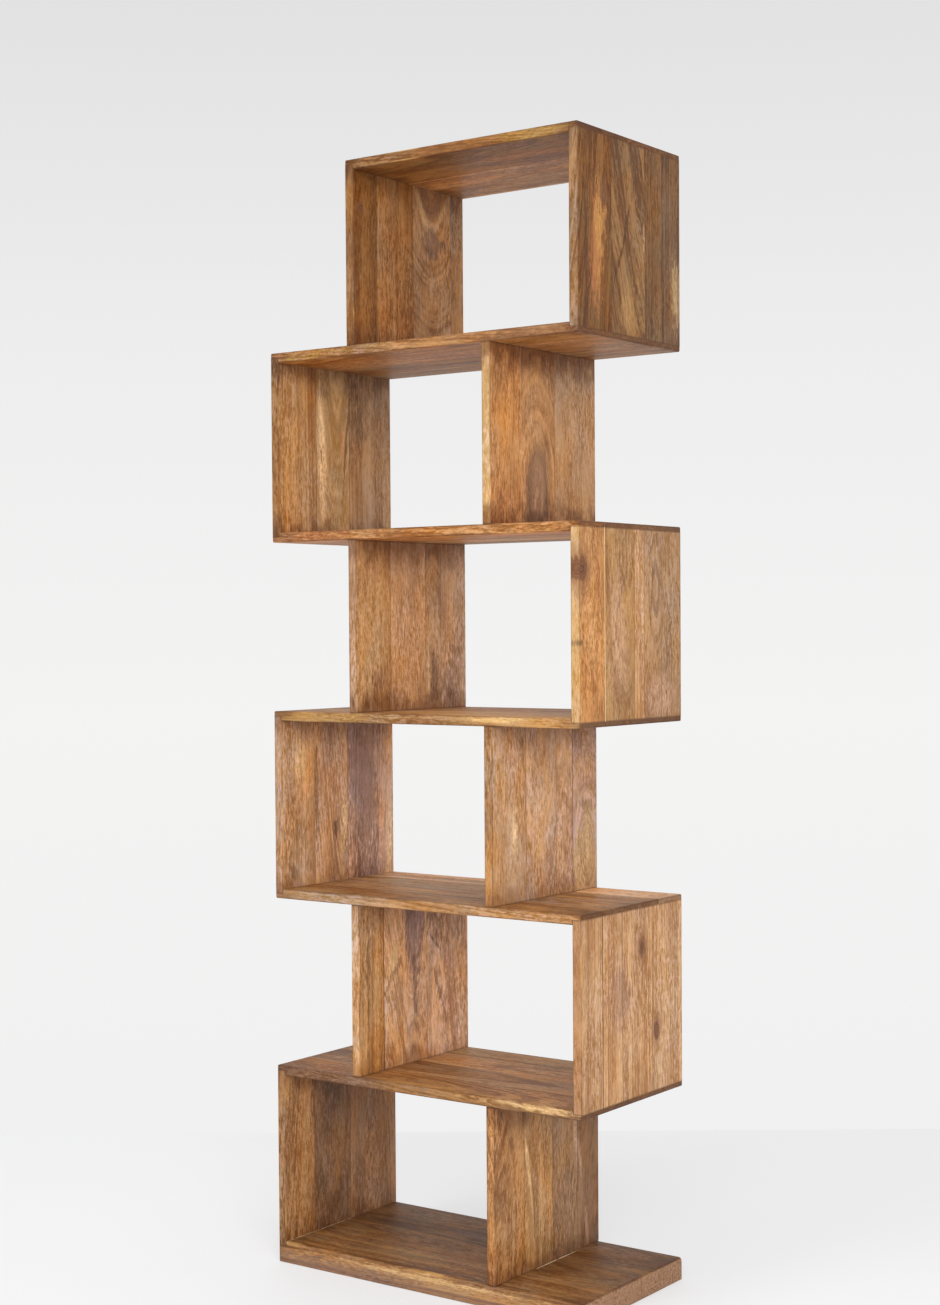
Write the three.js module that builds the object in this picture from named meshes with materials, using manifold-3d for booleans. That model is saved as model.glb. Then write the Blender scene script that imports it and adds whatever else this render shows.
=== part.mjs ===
// A free-standing zigzag bookshelf of solid wood: six open boxes stacked so that they step
// to the right and to the left in turn, on one thick base board.
// Millimetres, +Z up, the front faces -Y. The origin is on the floor, under the middle.
import * as THREE from 'three';
import { mergeVertices } from 'three/addons/utils/BufferGeometryUtils.js';
import Module from 'manifold-3d';

const wasm = await Module();
wasm.setup();

// Driving sizes of the carcass.
const overallWidth = 600;
const boardDepth = 300;
const boardThickness = 16;
const baseThickness = 36;
const boxCount = 6;
const boxClearHeight = 278;
const sideStep = 160;

// The rebate is the step cut into a board's end. The tongue left over it laps the upright's end.
const rebateDepth = 8;

// Arrises are eased, those of the base a little more.
const arrisRadius = 1.5;
const baseArrisRadius = 3;
const arcSteps = 3;

// Dowels hold the uprights that meet the flat of a board.
const dowelDiameter = 6;
const dowelChamfer = 0.8;
const dowelsPerJoint = 3;
const dowelEdgeDistance = 50;
const dowelHoleInUpright = 21;
const woodUnderDowelHole = 6;
const dowelClearance = 0.15;
const dowelEndRoom = 0.5;
const dowelFacets = 16;

// Cutting tools and blanks run this far past the faces that they cut.
const overrun = 5;

const halfWidth = overallWidth / 2;
const halfDepth = boardDepth / 2;
const rowPitch = boxClearHeight + boardThickness;
const dowelHoleInBoard = boardThickness - woodUnderDowelHole;
const dowelLength = dowelHoleInBoard + dowelHoleInUpright - 2 * dowelEndRoom;

// Colours of the oiled boards, which differ from board to board as solid wood does.
const woodTones = {
  honey: 0xa9743f,
  amber: 0x96602f,
  brown: 0x7d5230,
  umber: 0x694630,
  dowel: 0xc9a877,
};

function woodMaterial(tone) {
  return new THREE.MeshStandardMaterial({ color: woodTones[tone], roughness: 0.55, metalness: 0 });
}

function toSolid(geometry) {
  geometry.deleteAttribute('normal');
  geometry.deleteAttribute('uv');
  const merged = mergeVertices(geometry);
  return new wasm.Manifold(
    new wasm.Mesh({
      numProp: 3,
      vertProperties: merged.attributes.position.array,
      triVerts: new Uint32Array(merged.index.array),
    }),
  );
}

function toGeometry(solid) {
  const mesh = solid.getMesh();
  const geometry = new THREE.BufferGeometry();
  geometry.setAttribute('position', new THREE.BufferAttribute(mesh.vertProperties, 3));
  geometry.setIndex(new THREE.BufferAttribute(mesh.triVerts, 1));
  return geometry;
}

// A rectangle with eased corners, centred on the first axis and standing on `low` in the second.
function easedRectangle(width, low, high, radius) {
  const right = width / 2;
  const shape = new THREE.Shape();
  shape.moveTo(-right + radius, low);
  shape.absarc(right - radius, low + radius, radius, -Math.PI / 2, 0);
  shape.absarc(right - radius, high - radius, radius, 0, Math.PI / 2);
  shape.absarc(-right + radius, high - radius, radius, Math.PI / 2, Math.PI);
  shape.absarc(-right + radius, low + radius, radius, Math.PI, 1.5 * Math.PI);
  return shape;
}

function extrude(shape, length) {
  return new THREE.ExtrudeGeometry(shape, { depth: length, bevelEnabled: false, curveSegments: arcSteps });
}

// The front outline of a lying board in X and Z, with its underside at Z 0. Each of its four
// corners is eased, or stepped by a rebate that is as wide as an upright is thick.
function boardOutline(board) {
  const { left, right, thickness, radius } = board;
  const corners = [
    { end: 'left', face: 'bottom', x: left, z: 0, inX: 1, inZ: 1, start: Math.PI },
    { end: 'right', face: 'bottom', x: right, z: 0, inX: -1, inZ: 1, start: 1.5 * Math.PI },
    { end: 'right', face: 'top', x: right, z: thickness, inX: -1, inZ: -1, start: 0 },
    { end: 'left', face: 'top', x: left, z: thickness, inX: 1, inZ: -1, start: 0.5 * Math.PI },
  ];
  const shape = new THREE.Shape();
  for (const corner of corners) {
    if (board.rebates.some((rebate) => rebate.end === corner.end && rebate.face === corner.face)) {
      addRebate(shape, corner);
    } else {
      const arcX = corner.x + corner.inX * radius;
      const arcZ = corner.z + corner.inZ * radius;
      shape.absarc(arcX, arcZ, radius, corner.start, corner.start + Math.PI / 2);
    }
  }
  shape.closePath();
  return shape;
}

function addRebate(shape, corner) {
  const shoulderX = corner.x + corner.inX * boardThickness;
  const seatZ = corner.z + corner.inZ * rebateDepth;
  const step = [
    [corner.x, seatZ],
    [shoulderX, seatZ],
    [shoulderX, corner.z],
  ];
  const endComesFirst = corner.inX * corner.inZ > 0;
  const points = endComesFirst ? step : step.reverse();
  for (const [x, z] of points) {
    if (shape.curves.length === 0 && shape.currentPoint.equals(new THREE.Vector2())) {
      shape.moveTo(x, z);
    } else {
      shape.lineTo(x, z);
    }
  }
}

function dowelRows() {
  const span = boardDepth - 2 * dowelEdgeDistance;
  const gaps = Math.max(dowelsPerJoint - 1, 1);
  return Array.from({ length: dowelsPerJoint }, (_, index) => -span / 2 + (span * index) / gaps);
}

// A row of blind holes along Y at one X, drilled from the face at `mouthZ` towards `direction`.
function dowelHoles(x, mouthZ, direction, depth) {
  const radius = dowelDiameter / 2 + dowelClearance;
  const length = depth + overrun;
  return dowelRows().map((y) => {
    const drill = new THREE.CylinderGeometry(radius, radius, length, dowelFacets);
    drill.rotateX(Math.PI / 2);
    drill.translate(x, y, mouthZ + direction * (depth - length / 2));
    return toSolid(drill);
  });
}

function drilled(solid, holes) {
  return holes.reduce((remaining, hole) => remaining.subtract(hole), solid);
}

// A lying board: its front outline and its eased end-on section, each extruded and intersected.
function lyingBoard(board) {
  const { left, right, thickness, radius } = board;
  const outline = extrude(boardOutline(board), boardDepth + 2 * overrun);
  outline.rotateX(Math.PI / 2);
  outline.translate(0, halfDepth + overrun, 0);
  const section = extrude(easedRectangle(boardDepth, 0, thickness, radius), right - left + 2 * overrun);
  section.rotateX(Math.PI / 2);
  section.rotateZ(Math.PI / 2);
  section.translate(left - overrun, 0, 0);
  const holes = board.dowelHoles.flatMap(({ x, face }) =>
    face === 'top' ? dowelHoles(x, thickness, -1, dowelHoleInBoard) : dowelHoles(x, 0, 1, dowelHoleInBoard),
  );
  return toGeometry(drilled(toSolid(outline).intersect(toSolid(section)), holes));
}

// An upright stands on Z 0, centred in X and Y, with eased long arrises and square ends.
function uprightBoard(length, doweledEnds) {
  const section = easedRectangle(boardThickness, -halfDepth, halfDepth, arrisRadius);
  const holes = doweledEnds.flatMap((end) =>
    end === 'foot' ? dowelHoles(0, 0, 1, dowelHoleInUpright) : dowelHoles(0, length, -1, dowelHoleInUpright),
  );
  return toGeometry(drilled(toSolid(extrude(section, length)), holes));
}

// A dowel stands on Z 0, with both ends chamfered.
function dowelPin() {
  const radius = dowelDiameter / 2;
  const profile = [
    new THREE.Vector2(0, 0),
    new THREE.Vector2(radius - dowelChamfer, 0),
    new THREE.Vector2(radius, dowelChamfer),
    new THREE.Vector2(radius, dowelLength - dowelChamfer),
    new THREE.Vector2(radius - dowelChamfer, dowelLength),
    new THREE.Vector2(0, dowelLength),
  ];
  const pin = new THREE.LatheGeometry(profile, dowelFacets);
  pin.rotateX(Math.PI / 2);
  return pin;
}

function addPiece(parent, name, geometry, tone, x, z) {
  const mesh = new THREE.Mesh(geometry, woodMaterial(tone));
  mesh.name = name;
  mesh.position.set(x, 0, z);
  parent.add(mesh);
  return mesh;
}

// Boxes are counted from the top. Odd ones are flush on the right, even ones on the left.
function flushEnd(box) {
  return box % 2 === 1 ? 'right' : 'left';
}

function sideSign(end) {
  return end === 'right' ? 1 : -1;
}

// Height of the upper face of the board under a box.
function boxFloor(box) {
  return baseThickness + (boxCount - box) * rowPitch;
}

const flushUprightX = halfWidth - boardThickness / 2;
const setInUprightX = halfWidth - sideStep - boardThickness / 2;

function setInX(box) {
  return -sideSign(flushEnd(box)) * setInUprightX;
}

// The uppermost board covers the first box only, so both of that box's corners are rebated.
function addTopBoard(group) {
  const board = {
    left: sideStep - halfWidth,
    right: halfWidth,
    thickness: boardThickness,
    radius: arrisRadius,
    rebates: [
      { end: 'left', face: 'bottom' },
      { end: 'right', face: 'bottom' },
    ],
    dowelHoles: [],
  };
  addPiece(group, 'top_board', lyingBoard(board), 'brown', 0, boxFloor(1) + boxClearHeight);
}

// Shelf n lies between box n and box n + 1.
function addShelf(group, number) {
  const board = {
    left: -halfWidth,
    right: halfWidth,
    thickness: boardThickness,
    radius: arrisRadius,
    rebates: [
      { end: flushEnd(number), face: 'top' },
      { end: flushEnd(number + 1), face: 'bottom' },
    ],
    dowelHoles: [
      { x: setInX(number), face: 'top' },
      { x: setInX(number + 1), face: 'bottom' },
    ],
  };
  const tone = number % 2 === 1 ? 'amber' : 'brown';
  addPiece(group, `shelf_${number}`, lyingBoard(board), tone, 0, boxFloor(number) - boardThickness);
}

function addBase(group) {
  const board = {
    left: -halfWidth,
    right: halfWidth,
    thickness: baseThickness,
    radius: baseArrisRadius,
    rebates: [{ end: flushEnd(boxCount), face: 'top' }],
    dowelHoles: [{ x: setInX(boxCount), face: 'top' }],
  };
  addPiece(group, 'base_board', lyingBoard(board), 'umber', 0, 0);
}

// The flush upright runs from rebate to rebate.
function addFlushUpright(group, box) {
  const end = flushEnd(box);
  const length = boxClearHeight + 2 * rebateDepth;
  const geometry = uprightBoard(length, []);
  addPiece(group, `upright_${box}_${end}`, geometry, 'honey', sideSign(end) * flushUprightX, -rebateDepth);
}

// The set-in upright butts against flat boards, except the first one, whose head is rebated too.
function addSetInUpright(group, box) {
  const end = flushEnd(box) === 'right' ? 'left' : 'right';
  const rebatedHead = box === 1;
  const length = boxClearHeight + (rebatedHead ? rebateDepth : 0);
  const doweledEnds = rebatedHead ? ['foot'] : ['foot', 'head'];
  addPiece(group, `upright_${box}_${end}`, uprightBoard(length, doweledEnds), 'amber', setInX(box), 0);
  for (const doweledEnd of doweledEnds) {
    addDowels(group, box, doweledEnd);
  }
}

function addDowels(group, box, end) {
  const lowZ =
    end === 'foot'
      ? dowelEndRoom - dowelHoleInBoard
      : boxClearHeight - dowelHoleInUpright + dowelEndRoom;
  dowelRows().forEach((y, index) => {
    const name = `dowel_${box}_${end}_${index + 1}`;
    const dowel = addPiece(group, name, dowelPin(), 'dowel', setInX(box), lowZ);
    dowel.position.y = y;
  });
}

const bookshelf = new THREE.Group();
bookshelf.name = 'zigzag_bookshelf';
addTopBoard(bookshelf);
for (let number = 1; number < boxCount; number += 1) {
  addShelf(bookshelf, number);
}
addBase(bookshelf);
for (let box = 1; box <= boxCount; box += 1) {
  const row = new THREE.Group();
  row.position.z = boxFloor(box);
  addFlushUpright(row, box);
  addSetInUpright(row, box);
  bookshelf.add(row);
}

export default bookshelf;
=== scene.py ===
import collections
import dataclasses
import functools
import itertools
import math
import random

import bmesh
import bpy
from mathutils import Matrix, Vector


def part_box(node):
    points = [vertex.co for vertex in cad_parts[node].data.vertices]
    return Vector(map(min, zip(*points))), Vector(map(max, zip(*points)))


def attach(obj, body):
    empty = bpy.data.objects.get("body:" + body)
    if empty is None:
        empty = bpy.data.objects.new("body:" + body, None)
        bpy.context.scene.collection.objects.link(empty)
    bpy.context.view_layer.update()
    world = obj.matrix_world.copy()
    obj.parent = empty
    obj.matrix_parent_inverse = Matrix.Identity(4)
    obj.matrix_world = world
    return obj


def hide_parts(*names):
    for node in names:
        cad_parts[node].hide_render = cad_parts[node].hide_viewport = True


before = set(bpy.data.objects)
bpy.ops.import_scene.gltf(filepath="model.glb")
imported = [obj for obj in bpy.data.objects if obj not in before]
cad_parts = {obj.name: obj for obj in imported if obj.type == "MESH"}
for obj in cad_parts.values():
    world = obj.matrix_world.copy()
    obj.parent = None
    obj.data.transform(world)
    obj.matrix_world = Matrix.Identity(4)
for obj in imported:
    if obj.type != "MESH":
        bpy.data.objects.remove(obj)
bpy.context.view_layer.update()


# Camera
# It stands a good three metres off, to the right of the shelf's front and a little above half height,
# and looks down by two degrees, so that the top board shows its underside and the base its upper face.
view_direction = math.radians(36.037)
view_tilt = math.radians(-1.902)
view_roll = math.radians(-0.394)
lens_place = (1.9886, -2.7866, 1.0532)
lens_length = 58.08
photo_long_side = 1305
photo_shift = (15.0, 45.5)

ahead = Vector(
    (
        -math.sin(view_direction) * math.cos(view_tilt),
        math.cos(view_direction) * math.cos(view_tilt),
        math.sin(view_tilt),
    )
)
level_right = ahead.cross(Vector((0, 0, 1))).normalized()
level_up = level_right.cross(ahead)
right = level_right * math.cos(view_roll) + level_up * math.sin(view_roll)
up = level_up * math.cos(view_roll) - level_right * math.sin(view_roll)
turn = Matrix((right, up, -ahead)).transposed().to_4x4()

bpy.ops.object.camera_add()
camera = bpy.context.object
camera.name = "camera"
camera.matrix_world = Matrix.Translation(lens_place) @ turn
camera.data.lens = lens_length
camera.data.shift_x = photo_shift[0] / photo_long_side
camera.data.shift_y = photo_shift[1] / photo_long_side
bpy.context.scene.camera = camera


# Base board
# A slab of oiled, figured hardwood, glued up from staves and over twice as thick as a shelf. It lies on
# the floor, its left end is rebated for the lowest upright, and three dowels stand in it.

# each tone is the pale and the dark wood of a stave
cream = ((0.86, 0.54, 0.255), (0.50, 0.276, 0.097))
sand = ((0.70, 0.41, 0.205), (0.34, 0.155, 0.057))
honey = ((0.66, 0.37, 0.150), (0.31, 0.134, 0.040))
amber = ((0.59, 0.29, 0.100), (0.23, 0.087, 0.024))
brown = ((0.50, 0.26, 0.105), (0.20, 0.082, 0.026))
umber = ((0.37, 0.19, 0.085), (0.15, 0.062, 0.023))
plum = ((0.55, 0.33, 0.215), (0.25, 0.126, 0.067))
rose = ((0.66, 0.40, 0.225), (0.31, 0.150, 0.071))
russet = ((0.62, 0.27, 0.068), (0.25, 0.080, 0.011))

# single colours inside a stave
sapwood = (0.80, 0.51, 0.235)
pink = (0.62, 0.36, 0.230)
heartwood = (0.19, 0.095, 0.062)
dark_oil = (0.10, 0.040, 0.018)
vessel_oil = (0.07, 0.03, 0.016)
end_oil_tone = (0.10, 0.047, 0.028)
dry_end_tone = (0.44, 0.25, 0.145)
# partly rubbed wood and partly a painted highlight on the arrises
rubbed_and_highlight_tone = (0.74, 0.42, 0.14)
pale_glue_tone = (0.86, 0.60, 0.30)
knot_halo = (0.22, 0.085, 0.036)
knot_tones = ((0.075, 0.027, 0.014), (0.25, 0.105, 0.048))
# partly oil stain and partly painted shade, for the wood beside the joints
joint_stain = (0.42, 0.33, 0.29)
# painted shade: a dark smoky tone put where shade falls, under the shelves, towards the backs of the
# boxes and low on the base's front
painted_shade_tone = (0.22, 0.125, 0.085)
wax = (0.84, 0.66, 0.43)


class Wired:
    """A number, vector or colour on its way through a shader. Sums and products make Math nodes."""

    def __init__(self, socket):
        self.socket = socket
        self.tree = socket.id_data

    def __add__(self, other):
        return reckon("ADD", self, other)

    def __sub__(self, other):
        return reckon("SUBTRACT", self, other)

    def __mul__(self, other):
        return reckon("MULTIPLY", self, other)

    def __truediv__(self, other):
        return reckon("DIVIDE", self, other)


def lead(value, socket):
    """Feeds an input with a plain value or with what comes out of another node."""
    if isinstance(value, Wired):
        value.tree.links.new(value.socket, socket)
    else:
        socket.default_value = value


def wire(tree, kind, feeds, **settings):
    made = tree.nodes.new("ShaderNode" + kind)
    for name, value in settings.items():
        setattr(made, name, value)
    for name, value in feeds.items():
        lead(value, made.inputs[name])
    return made


def flow(kind, feeds, output=0, **settings):
    """What comes out of a new node, in the tree that its feeds come from."""
    tree = next(value.tree for value in feeds.values() if isinstance(value, Wired))
    return Wired(wire(tree, kind, feeds, **settings).outputs[output])


def source(tree, kind, output, **settings):
    """What comes out of a new node that nothing feeds."""
    return Wired(wire(tree, kind, {}, **settings).outputs[output])


def reckon(operation, *terms):
    return flow("Math", dict(enumerate(terms)), operation=operation)


def larger(first, second):
    return reckon("MAXIMUM", first, second)


def smaller(first, second):
    return reckon("MINIMUM", first, second)


def above_and_below(value):
    """How far a value lies above 0, and how far below."""
    return larger(value, 0.0), larger(value * -1.0, 0.0)


def split(vector):
    return [Wired(part) for part in wire(vector.tree, "SeparateXYZ", {0: vector}).outputs]


def join(first, second, third=0.0):
    return flow("CombineXYZ", {0: first, 1: second, 2: third})


def length_of(first, second, third=0.0):
    return flow("VectorMath", {0: join(first, second, third)}, "Value", operation="LENGTH")


def blend(amount, first, second, how="MIX"):
    return flow("Mix", {0: amount, 6: first, 7: second}, 2, data_type="RGBA", blend_type=how)


def paint_over(colour, amount, wood):
    return blend(amount, colour, (*wood, 1))


def tint(colour, amount, red, green, blue):
    """Multiplies the colour by 1 plus amount times each share."""
    shares = join(*(amount * share + 1.0 for share in (red, green, blue)))
    return blend(1.0, colour, shares, "MULTIPLY")


def ease(value, low, high, to_low=0.0, to_high=1.0):
    feeds = {0: value, 1: low, 2: high, 3: to_low, 4: to_high}
    return flow("MapRange", feeds, interpolation_type="SMOOTHSTEP")


def sway(value, amount):
    return (value - 0.5) * amount


def noted(tree, name, output="Vector"):
    """What was noted on each face of the board under this name."""
    return source(tree, "Attribute", output, attribute_name=name)


def cloud(place, scale, offset, detail=2.0, roughness=0.5, output=0):
    stretched = flow("VectorMath", {0: place, 1: scale, 2: offset}, operation="MULTIPLY_ADD")
    feeds = {"Vector": stretched, "Scale": 1.0, "Detail": detail, "Roughness": roughness}
    return flow("TexNoise", feeds, output, noise_dimensions="3D")


def three_clouds(place, scale, offset):
    return split(cloud(place, scale, offset, output="Color"))


def ring_noise(distance, scale, offset, roughness=0.5):
    feeds = {"W": distance * scale + offset, "Scale": 1.0, "Detail": 2.0, "Roughness": roughness}
    return flow("TexNoise", feeds, noise_dimensions="1D")


def bent_grain(place, wander, offset, other):
    """The grain wanders in long waves, bends in shorter ones and trembles in fine ones."""
    waves = three_clouds(place, (2.6, 11, 11), offset)
    bends = three_clouds(place, (7, 26, 26), other)
    tremble = three_clouds(place, (18, 75, 75), offset)
    reach = wander * 2.6
    bend_reach = wander * 1.3
    _, across, into = split(place)
    swayed = across + sway(waves[0], reach) + sway(bends[0], bend_reach) + sway(tremble[0], 0.004)
    sunk = into + sway(waves[1], reach) + sway(bends[1], bend_reach) + sway(tremble[1], 0.004)
    return swayed, sunk, tremble[2]


def flow_round_knot(swayed, along, across, tremble):
    """The grain parts round a knot. The distance from it is in times its radius."""
    knot_along, knot_across, knot_radius = split(noted(along.tree, "knot"))
    from_knot = across - knot_across
    past_knot = (along - knot_along) * 0.6
    distance = length_of(past_knot, from_knot) / knot_radius + sway(tremble, 2.2)
    nearness = reckon("EXPONENT", distance * distance * -0.14)
    return swayed - from_knot * nearness * 0.8, distance


def ring_lines(ring, ring_offset, place, offset):
    """Thin dark lines along some of the rings, where the clouds let them show."""
    feeds = {"W": ring * 105 + ring_offset, "Scale": 1.0}
    look = {"voronoi_dimensions": "1D", "feature": "DISTANCE_TO_EDGE"}
    presence = ease(cloud(place, (15, 50, 50), offset), 0.42, 0.62)
    return ease(flow("TexVoronoi", feeds, "Distance", **look), 0.2, 0.0) * presence


def cut_core(tree, ring):
    """The heart of the log, where the saw has cut into it: its rim, and how dark and how pale it is."""
    radius, strength, _ = split(noted(tree, "core"))
    in_core = ring / larger(radius, 0.00001)
    rim = ease(in_core, 1.4, 1.05) * strength * 0.45
    outwards = ease(in_core, 0.35, 0.85, 0.5, 1.0)
    return rim, *above_and_below(ease(in_core, 1.08, 0.92) * outwards * strength)


def with_patch(colour, name, along, swayed, sunk, edge_sway, uneven):
    """A patch of paler or darker wood, which follows the grain."""
    tree = colour.tree
    patch_along, patch_across, patch_into = split(noted(tree, name))
    half_long, half_wide, half_deep = split(noted(tree, name + "_reach"))
    drift, strength, ragged = split(noted(tree, name + "_look"))
    further = along - patch_along
    beside = swayed - (drift * further + patch_across)
    below = sunk - patch_into
    from_middle = length_of(further / half_long, beside / half_wide, below / half_deep)
    on_patch = ease(edge_sway * ragged + from_middle, 1.3, 0.55) * strength
    wood = tint(noted(tree, name + "_wood", "Color"), uneven, 0.8, 0.95, 1.1)
    return blend(on_patch, colour, wood)


def with_worn_and_painted_arrises(colour, place, offset):
    """Oil and dirt have darkened the arrises, mixed with painted shade that tones down the light they
    catch, and rubbing has brightened them again here and there, mixed with a painted highlight.
    """
    arris = noted(colour.tree, "arris", "Fac")
    rub = cloud(place, (9, 9, 9), offset, 3.0)
    # painted shade on the arrises, mixed with oil and dirt
    colour = paint_over(colour, arris * ease(rub, 0.62, 0.40, 0.16, 0.52), dark_oil)
    # painted highlight on the arrises, mixed with rubbed wear
    return paint_over(colour, arris * ease(rub, 0.54, 0.68, 0.0, 0.4), rubbed_and_highlight_tone)


def with_knot(colour, distance, in_knot, ring_offset):
    """The knot itself, with rings of its own and a dark halo."""
    shade = ease(ring_noise(distance, 3.5, ring_offset), 0.35, 0.65)
    dark, pale = knot_tones
    colour = paint_over(colour, ease(distance, 3.2, 0.9, 0.0, 0.62), knot_halo)
    return blend(in_knot * 0.9, colour, blend(shade, (*dark, 1), (*pale, 1)))


def with_stained_ends(colour, along, place, offset):
    """Darkens the wood beside the joints at the stave's two ends, partly as oil stain and partly as
    painted shade where the joints shade it, and draws a thin dark seam at each joint.
    """
    first_end, last_end, strength = split(noted(colour.tree, "ends"))
    to_first = reckon("ABSOLUTE", along - first_end)
    to_last = reckon("ABSOLUTE", along - last_end)
    ragged = sway(cloud(place, (20, 30, 30), offset, 4.0, 0.65), 0.13)
    at_first = ease(to_first + ragged, 0.058, 0.004)
    at_last = ease(to_last + ragged, 0.044, 0.002)
    # painted shade beside the joints, mixed with oil stain
    colour = blend(larger(at_first, at_last) * strength, colour, (*joint_stain, 1), "MULTIPLY")
    seam = ease(smaller(to_first, to_last), 0.0028, 0.0008, 0.0, 0.5)
    return paint_over(colour, seam, dark_oil)


def with_sawn_ends(colour, end, place, offset, small):
    """Most sawn ends drink more oil, and a dry one stays pale."""
    oily, dry = above_and_below(noted(colour.tree, "end_oil", "Fac"))
    dots = ease(cloud(place, (300, 900, 900), offset, 1.0), 0.55, 0.68)
    colour = blend(end, colour, paint_over(colour, (dots * 0.35 + 0.4) * oily, end_oil_tone))
    return blend(end * dry, colour, tint((*dry_end_tone, 1), small, 0.8, 0.9, 1.0))


def with_glue_lines(colour):
    """The thin glue lines are dark, but for a few pale ones."""
    dark, pale = above_and_below(noted(colour.tree, "glue_line", "Fac"))
    return paint_over(paint_over(colour, dark * 0.7, dark_oil), pale * 0.4, pale_glue_tone)


def group_inputs(tree, kinds):
    for name, kind in kinds.items():
        tree.interface.new_socket(name, in_out="INPUT", socket_type="NodeSocket" + kind)
    way_in = tree.nodes.new("NodeGroupInput")
    return [Wired(way_in.outputs[name]) for name in kinds]


def group_results(tree, **results):
    for name in results:
        kind = "Color" if name == "Colour" else "Float"
        tree.interface.new_socket(name, in_out="OUTPUT", socket_type="NodeSocket" + kind)
    way_out = tree.nodes.new("NodeGroupOutput")
    for name, value in results.items():
        lead(value, way_out.inputs[name])


patch_names = ("patch_1", "patch_2", "patch_3", "patch_4")


def figured_hardwood():
    """Place is (along the grain, across the board, into the board), in metres."""
    tree = bpy.data.node_groups.new("figured_hardwood", "ShaderNodeTree")
    place, facing_end = group_inputs(tree, {"Place": "Vector", "Facing end": "Float"})
    along, across, _ = split(place)
    heart_across, heart_depth, heart_tilt = split(noted(tree, "heart"))
    seed, wander, lean = split(noted(tree, "figure"))
    liveliness = split(noted(tree, "core"))[2]
    offset = join(seed * 3.17, seed * 7.31, seed * 5.93)
    other = join(seed * 6.11, seed * 2.37, seed * 4.51)
    swayed, sunk, tremble = bent_grain(place, wander, offset, other)
    swayed, knot_distance = flow_round_knot(swayed, along, across, tremble)

    # growth rings round the log's heart, which leans and dips as it runs along the stave
    aside = swayed - (lean * along + heart_across)
    ring = length_of(aside, sunk - (heart_tilt * along + heart_depth))
    ring_offset = seed * 4.7
    broad = ease(ring_noise(ring, 42, ring_offset), 0.34, 0.66)
    fine = ease(ring_noise(ring, 260, ring_offset, 0.6), 0.3, 0.7)
    lines = ring_lines(ring, ring_offset, place, other)
    rings = sway(broad, -0.44) + sway(fine, -0.34) + lines * -0.42

    # blotches, short streaks, speckle and fibres, which all run with the swayed grain
    grain = join(along, aside, sunk)
    blotch = cloud(grain, (9, 23, 23), offset, 4.0, 0.62)
    dashes = cloud(grain, (55, 220, 220), other, 3.0, 0.65)
    speckle = cloud(grain, (130, 380, 380), offset, 2.0, 0.7)
    fibre = cloud(grain, (48, 570, 570), offset, 2.0, 0.6)
    coarseness = ease(cloud(place, (5, 14, 14), other), 0.35, 0.65, 0.6, 1.5)
    small = (sway(dashes, 1.55) + sway(speckle, 1.4) + sway(fibre, 1.2)) * coarseness

    # how pale each point is, from 0 to 1, and how warm
    core_rim, dark_core, pale_core = cut_core(tree, ring)
    pale = rings * liveliness + sway(blotch, 1.6) + small + core_rim + pale_core
    pale = flow("Math", {0: pale, 1: 0.5}, operation="ADD", use_clamp=True)
    colour = blend(pale, noted(tree, "dark_wood", "Color"), noted(tree, "pale_wood", "Color"))
    warmth = sway(cloud(place, (8, 17, 17), other, 4.0, 0.65), 4.9) * noted(tree, "clouding", "Fac")
    colour = tint(colour, warmth, 0.08, -0.10, -0.46)
    colour = tint(colour, small, -0.06, 0.0, 0.6)

    core_look = sway(fine, 0.5) + sway(blotch, 1.5) + 0.85
    colour = paint_over(colour, smaller(dark_core * core_look, 1.0), heartwood)
    edge_sway = sway(dashes, 2.4) + sway(blotch, 1.8)
    uneven = small + rings * 0.5
    for name in patch_names:
        colour = with_patch(colour, name, along, swayed, sunk, edge_sway, uneven)
    vessel = ease(cloud(grain, (85, 1500, 1500), offset, 1.0), 0.60, 0.70)
    colour = paint_over(colour, vessel * 0.45, vessel_oil)
    colour = with_worn_and_painted_arrises(colour, place, other)
    in_knot = ease(knot_distance, 1.4, 0.8)
    colour = with_knot(colour, knot_distance, in_knot, ring_offset)
    colour = with_stained_ends(colour, along, place, other)
    end = ease(facing_end, 0.55, 0.85)
    colour = with_sawn_ends(colour, end, place, offset, small)
    colour = with_glue_lines(colour)

    roughness = fibre * 0.14 + vessel * 0.16 + blotch * 0.20 + end * 0.15 + 0.34
    planing = cloud(place, (7, 17, 17), offset, 1.0)
    height_mm = planing * 0.5 + speckle * 0.05 + pale * 0.04 + fibre * 0.05
    height_mm = height_mm + vessel * -0.07 + in_knot * -0.12
    group_results(tree, Colour=colour, Roughness=roughness, Height=height_mm)
    return tree


mm = 0.001
hardwood = figured_hardwood()


def blank_material(name):
    material = bpy.data.materials.new(name)
    material.use_nodes = True
    return material, material.node_tree, material.node_tree.nodes["Principled BSDF"]


def oiled(name, grain):
    """The oiled hardwood with its grain along x, on a lying board, or along z, on an upright."""
    material, tree, surface = blank_material(name)
    surface.inputs["Specular IOR Level"].default_value = 0.2
    x, y, z = split(source(tree, "TexCoord", "Object"))
    toward_x, _, toward_z = split(source(tree, "TexCoord", "Normal"))
    along, into, facing = (x, z, toward_x) if grain == "x" else (z, x, toward_z)
    feeds = {"Place": join(along, y, into * -1.0), "Facing end": reckon("ABSOLUTE", facing)}
    wood = wire(tree, "Group", feeds, node_tree=hardwood).outputs
    relief = flow("Bump", {"Height": Wired(wood["Height"]), "Strength": 1.0, "Distance": mm})
    lead(Wired(wood["Colour"]), surface.inputs["Base Color"])
    lead(Wired(wood["Roughness"]), surface.inputs["Roughness"])
    lead(relief, surface.inputs["Normal"])
    return material


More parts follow.
